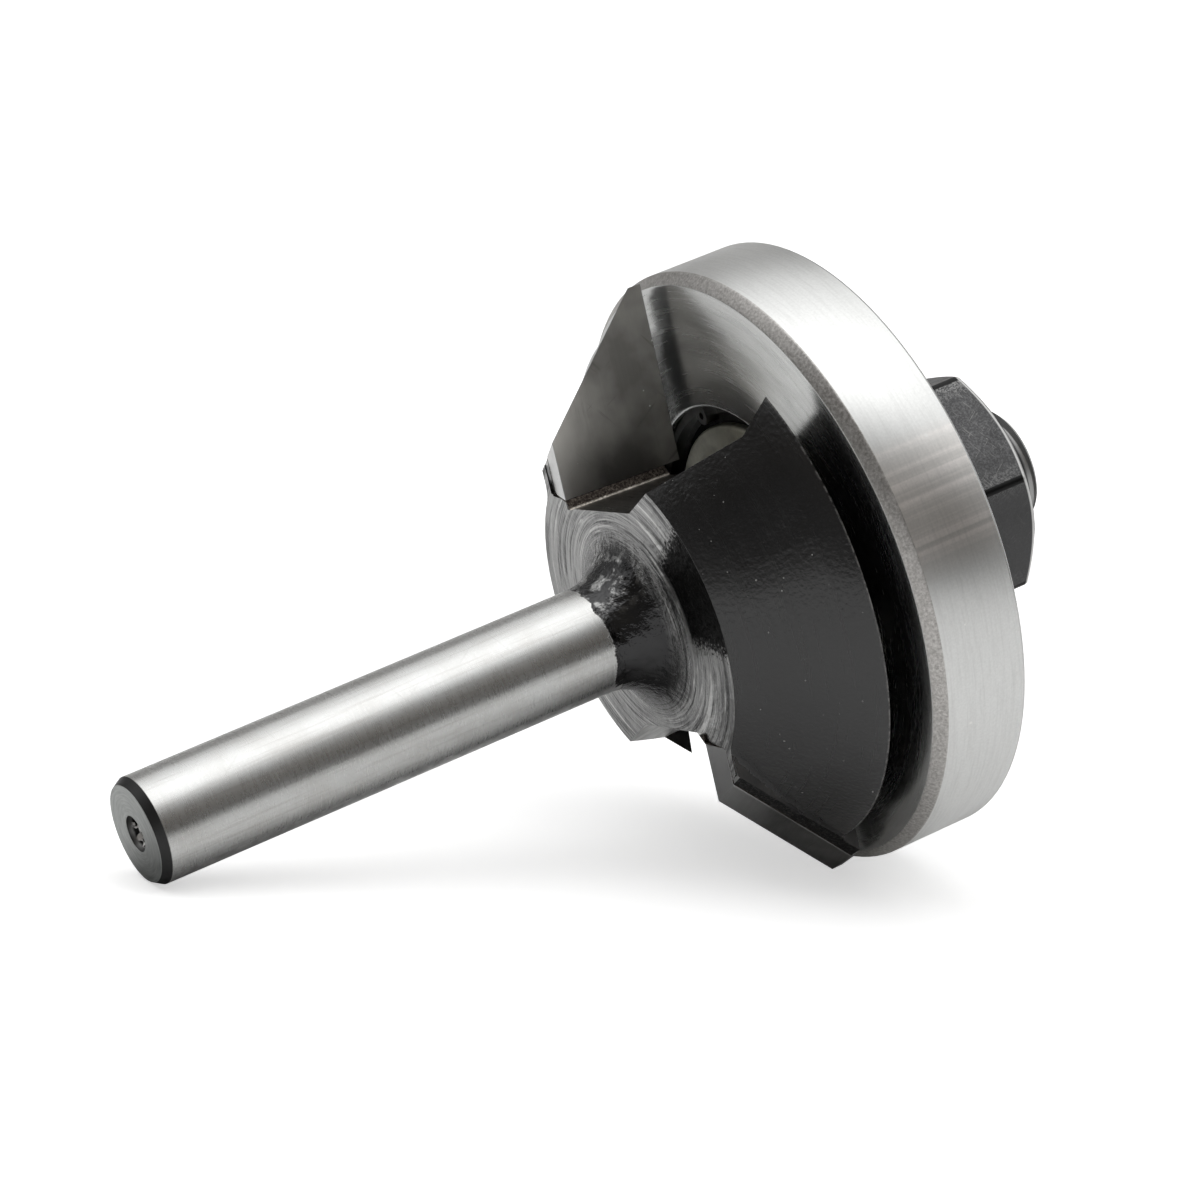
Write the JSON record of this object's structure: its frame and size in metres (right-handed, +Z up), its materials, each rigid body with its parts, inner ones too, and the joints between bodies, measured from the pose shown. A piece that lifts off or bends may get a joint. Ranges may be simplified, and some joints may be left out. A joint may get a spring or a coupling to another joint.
{
  "type": "router bit",
  "caption": "Bevel router bit with brazed carbide wings on a cone-shaped head, a plain round shank and a wide guide collar on a ball bearing held by a hexagon nut.",
  "frame": {"origin": "middle of the bounding box at the table it lies on", "axes": "+X along the table from the shank end to the nut, +Z up; the bit's own axis leans up from +X towards +Z"},
  "size_m": [0.0576, 0.0362, 0.0359],
  "materials": {
    "lacquered_steel": "black gloss lacquer on the head, bright ground shank",
    "carbide": "fine ground",
    "silver_solder": "dull, heat stained",
    "ground_steel": "ground round the rim, satin faces",
    "spring_steel": "satin, dark",
    "bearing_steel": "polished",
    "ball_steel": "polished",
    "cage_steel": "pressed, satin",
    "seal_rubber": "matt black",
    "washer_steel": "satin",
    "black_oxide_steel": "black oxide, satin"
  },
  "bodies": {
    "bit": {"cutter_body": "lacquered_steel", "carbide_tip_1": "carbide", "carbide_tip_2": "carbide", "braze_1": "silver_solder", "braze_2": "silver_solder", "thrust_washer": "washer_steel", "bearing_inner_race": "bearing_steel", "flat_washer": "washer_steel", "spring_washer": "spring_steel", "lock_nut": "black_oxide_steel"},
    "collar": {"guide_collar": "ground_steel", "retaining_ring": "spring_steel", "bearing_outer_race": "bearing_steel", "seal_front": "seal_rubber", "seal_rear": "seal_rubber"},
    "cage": {"bearing_cage": "cage_steel", "bearing_ball_1": "ball_steel", "bearing_ball_2": "ball_steel", "bearing_ball_3": "ball_steel", "bearing_ball_4": "ball_steel", "bearing_ball_5": "ball_steel", "bearing_ball_6": "ball_steel", "bearing_ball_7": "ball_steel"}
  },
  "joints": [
    {"name": "collar_spin", "type": "hinge", "parent": "bit", "child": "collar", "pos_m": [0.01438, 0, 0.01818], "axis": [0.9395, 0, 0.3426], "continuous": true},
    {"name": "cage_spin", "type": "hinge", "parent": "bit", "child": "cage", "pos_m": [0.01438, 0, 0.01818], "axis": [0.9395, 0, 0.3426], "continuous": true}
  ],
  "couplings": [
    {"joint": "cage_spin", "follows": "collar_spin", "ratio": 0.5979}
  ]
}
